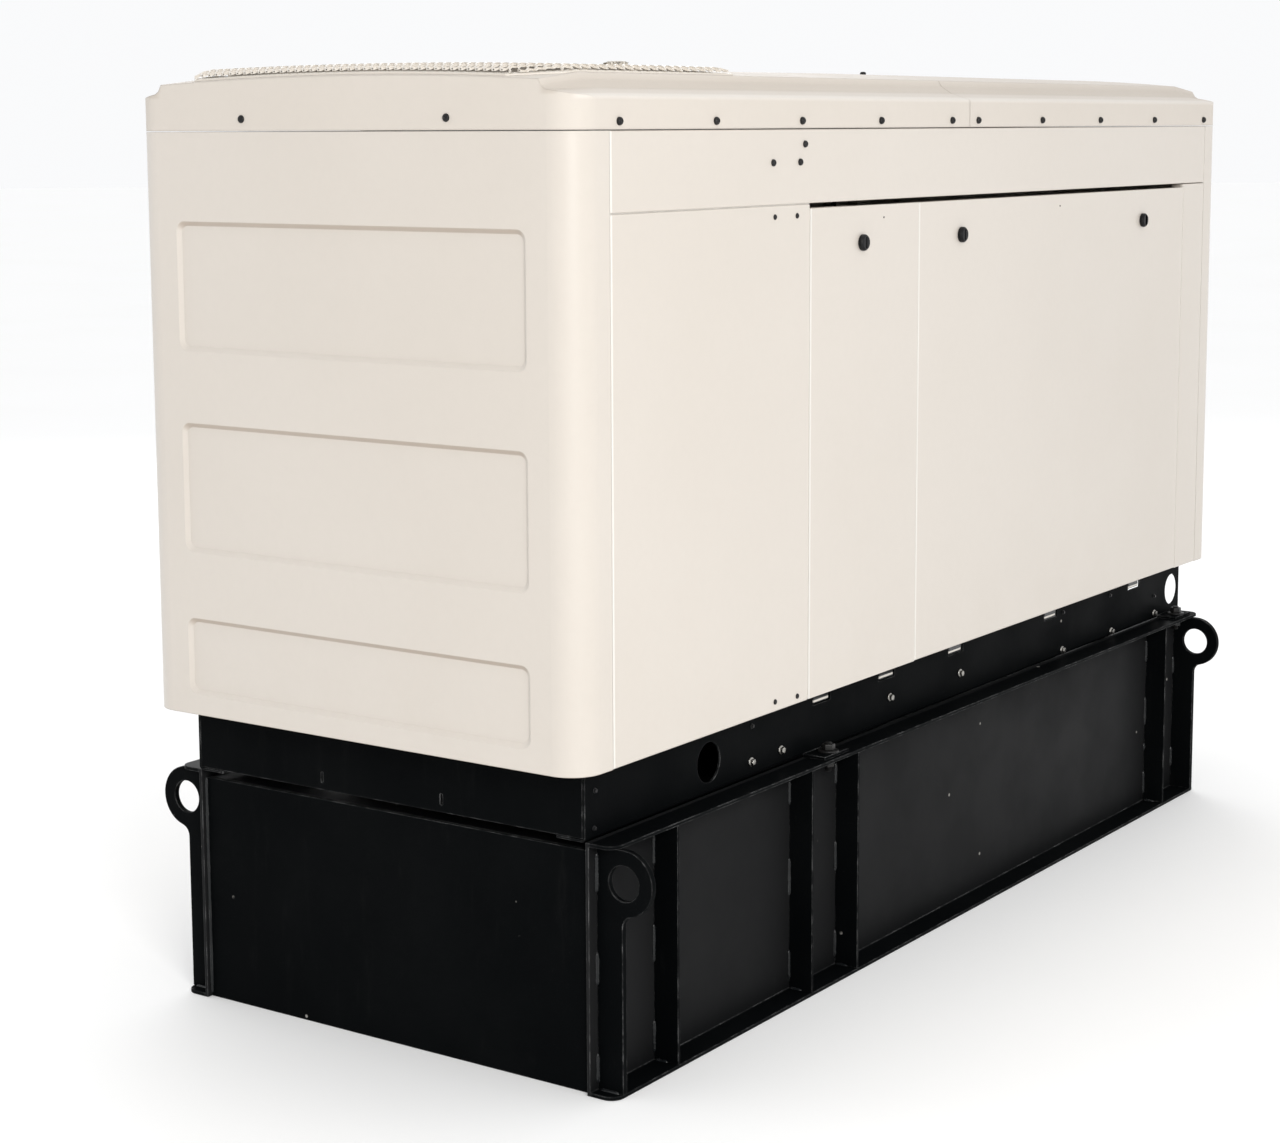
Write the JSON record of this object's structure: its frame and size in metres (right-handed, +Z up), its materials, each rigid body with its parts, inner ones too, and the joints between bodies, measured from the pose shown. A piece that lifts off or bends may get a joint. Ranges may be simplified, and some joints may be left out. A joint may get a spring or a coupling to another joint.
{
  "type": "diesel standby generator set",
  "caption": "Diesel standby generator in a sheet sound enclosure with tilt-out side doors, roof air outlet and end louvres, on a steel skid and a sub-base fuel tank with lifting lugs.",
  "frame": {"origin": "on the floor, at the middle of the set in plan", "axes": "+X along the length from the radiator end to the intake end, -Y towards the service side, +Z up"},
  "size_m": [2.734, 1.166, 1.809],
  "materials": {
    "enclosure_paint": "satin warm ivory powder coat",
    "base_paint": "satin black paint",
    "zinc_hardware": "zinc plated",
    "black_hardware": "black oxide",
    "latch_black": "moulded black",
    "grille_paint": "painted expanded metal",
    "engine_paint": "engine enamel, dark grey",
    "cast_iron": "cast",
    "aluminium": "die cast",
    "steel": "machined",
    "exhaust_steel": "aluminised, heat tinted",
    "rubber": "matte",
    "radiator_black": "matte black",
    "fan_plastic": "moulded",
    "galvanised": "galvanised sheet",
    "control_grey": "textured grey",
    "estop_red": "glossy red",
    "copper_winding": "varnished laminations",
    "battery_case": "moulded"
  },
  "bodies": {
    "base": {"air_cleaner": "rubber", "alternator_end_cover": "aluminium", "alternator_housing": "engine_paint", "base_bolts": "zinc_hardware", "battery": "battery_case", "charge_alternator": "aluminium", "control_box": "control_grey", "coolant_hoses": "rubber", "cylinder_head": "engine_paint", "drive_belt": "rubber", "enclosure_fasteners": "black_hardware", "end_cap_front": "enclosure_paint", "end_cap_rear": "enclosure_paint", "engine_block": "engine_paint", "engine_filters": "steel", "engine_mounts": "base_paint", "exhaust_manifold": "cast_iron", "fan_shroud": "fan_plastic", "fixed_side_panels": "enclosure_paint", "flywheel_housing": "engine_paint", "fuel_filler_neck": "base_paint", "header_rails": "enclosure_paint", "lifting_lugs": "base_paint", "muffler": "exhaust_steel", "oil_pan": "engine_paint", "radiator_bulkhead": "galvanised", "radiator_core": "radiator_black", "roof_front": "enclosure_paint", "roof_grille": "grille_paint", "roof_rear": "enclosure_paint", "skid_cross_members": "base_paint", "skid_rails": "base_paint", "starter_motor": "steel", "tank_end_panels": "base_paint", "tank_gussets": "base_paint", "tank_shell": "base_paint", "tank_side_channels": "base_paint", "valve_cover": "aluminium"},
    "small_door_left": {"small_door_left": "enclosure_paint"},
    "small_door_right": {"small_door_right": "enclosure_paint"},
    "large_door_left": {"large_door_left": "enclosure_paint"},
    "large_door_right": {"large_door_right": "enclosure_paint"},
    "rotating_assembly": {"crankshaft": "steel", "alternator_rotor": "copper_winding", "crank_pulley": "steel"},
    "fan": {"fan_pulley": "steel", "radiator_fan": "fan_plastic"},
    "charge_pulley": {"charge_alternator_pulley": "steel"},
    "emergency_stop_button": {"emergency_stop_button": "estop_red"},
    "mode_selector": {"mode_selector": "latch_black"},
    "breaker_handle": {"breaker_handle": "latch_black"},
    "fuel_filler_cap": {"fuel_filler_cap": "latch_black"},
    "coolant_fill_cap": {"coolant_fill_cap": "enclosure_paint"},
    "oil_dipstick": {"oil_dipstick": "steel"},
    "latch_left_1": {"latch_left_1": "latch_black"},
    "latch_left_2": {"latch_left_2": "latch_black"},
    "latch_left_3": {"latch_left_3": "latch_black"},
    "latch_right_1": {"latch_right_1": "latch_black"},
    "latch_right_2": {"latch_right_2": "latch_black"},
    "latch_right_3": {"latch_right_3": "latch_black"}
  },
  "joints": [
    {"name": "small_door_left_tilt", "type": "hinge", "parent": "base", "child": "small_door_left", "pos_m": [-0.4085, -0.5, 0.585], "axis": [1, 0, 0], "range_deg": [0, 35]},
    {"name": "small_door_right_tilt", "type": "hinge", "parent": "base", "child": "small_door_right", "pos_m": [-0.4085, 0.5, 0.585], "axis": [-1, 0, 0], "range_deg": [0, 35]},
    {"name": "large_door_left_tilt", "type": "hinge", "parent": "base", "child": "large_door_left", "pos_m": [0.4725, -0.5, 0.585], "axis": [1, 0, 0], "range_deg": [0, 35]},
    {"name": "large_door_right_tilt", "type": "hinge", "parent": "base", "child": "large_door_right", "pos_m": [0.4725, 0.5, 0.585], "axis": [-1, 0, 0], "range_deg": [0, 35]},
    {"name": "latch_left_1_turn", "type": "hinge", "parent": "small_door_left", "child": "latch_left_1", "pos_m": [-0.425, -0.508, 1.46], "axis": [0, -1, 0], "range_deg": [0, 90]},
    {"name": "latch_left_2_turn", "type": "hinge", "parent": "large_door_left", "child": "latch_left_2", "pos_m": [-0.015, -0.508, 1.46], "axis": [0, -1, 0], "range_deg": [0, 90]},
    {"name": "latch_left_3_turn", "type": "hinge", "parent": "large_door_left", "child": "latch_left_3", "pos_m": [0.899, -0.508, 1.46], "axis": [0, -1, 0], "range_deg": [0, 90]},
    {"name": "latch_right_1_turn", "type": "hinge", "parent": "small_door_right", "child": "latch_right_1", "pos_m": [-0.425, 0.508, 1.46], "axis": [0, 1, 0], "range_deg": [-90, 0]},
    {"name": "latch_right_2_turn", "type": "hinge", "parent": "large_door_right", "child": "latch_right_2", "pos_m": [-0.015, 0.508, 1.46], "axis": [0, 1, 0], "range_deg": [-90, 0]},
    {"name": "latch_right_3_turn", "type": "hinge", "parent": "large_door_right", "child": "latch_right_3", "pos_m": [0.899, 0.508, 1.46], "axis": [0, 1, 0], "range_deg": [-90, 0]},
    {"name": "crankshaft_spin", "type": "hinge", "parent": "base", "child": "rotating_assembly", "pos_m": [0, 0, 0.85], "axis": [1, 0, 0], "continuous": true},
    {"name": "fan_spin", "type": "hinge", "parent": "base", "child": "fan", "pos_m": [-0.545, 0, 1.06], "axis": [1, 0, 0], "continuous": true},
    {"name": "charge_pulley_spin", "type": "hinge", "parent": "base", "child": "charge_pulley", "pos_m": [-0.545, 0.245, 0.985], "axis": [1, 0, 0], "continuous": true},
    {"name": "emergency_stop_press", "type": "slide", "parent": "base", "child": "emergency_stop_button", "axis": [0, 1, 0], "range_m": [0, 0.006], "stiffness_N_per_m": 600},
    {"name": "mode_selector_turn", "type": "hinge", "parent": "base", "child": "mode_selector", "pos_m": [0.66, -0.415, 1.41], "axis": [0, -1, 0], "range_deg": [-45, 45]},
    {"name": "breaker_handle_throw", "type": "hinge", "parent": "base", "child": "breaker_handle", "pos_m": [0.67, -0.398, 1.26], "axis": [1, 0, 0], "range_deg": [0, 60]},
    {"name": "fuel_filler_cap_flip", "type": "hinge", "parent": "base", "child": "fuel_filler_cap", "pos_m": [1.1, -0.292, 0.766], "axis": [-1, 0, 0], "range_deg": [0, 110]},
    {"name": "coolant_fill_cap_turn", "type": "hinge", "parent": "base", "child": "coolant_fill_cap", "pos_m": [-0.7, -0.122, 1.8], "axis": [0, 0, 1], "range_deg": [0, 90]},
    {"name": "oil_dipstick_pull", "type": "slide", "parent": "base", "child": "oil_dipstick", "axis": [0, 0, 1], "range_m": [0, 0.25]}
  ],
  "couplings": [
    {"joint": "fan_spin", "follows": "crankshaft_spin", "ratio": 1.2308},
    {"joint": "charge_pulley_spin", "follows": "crankshaft_spin", "ratio": 2.5}
  ]
}
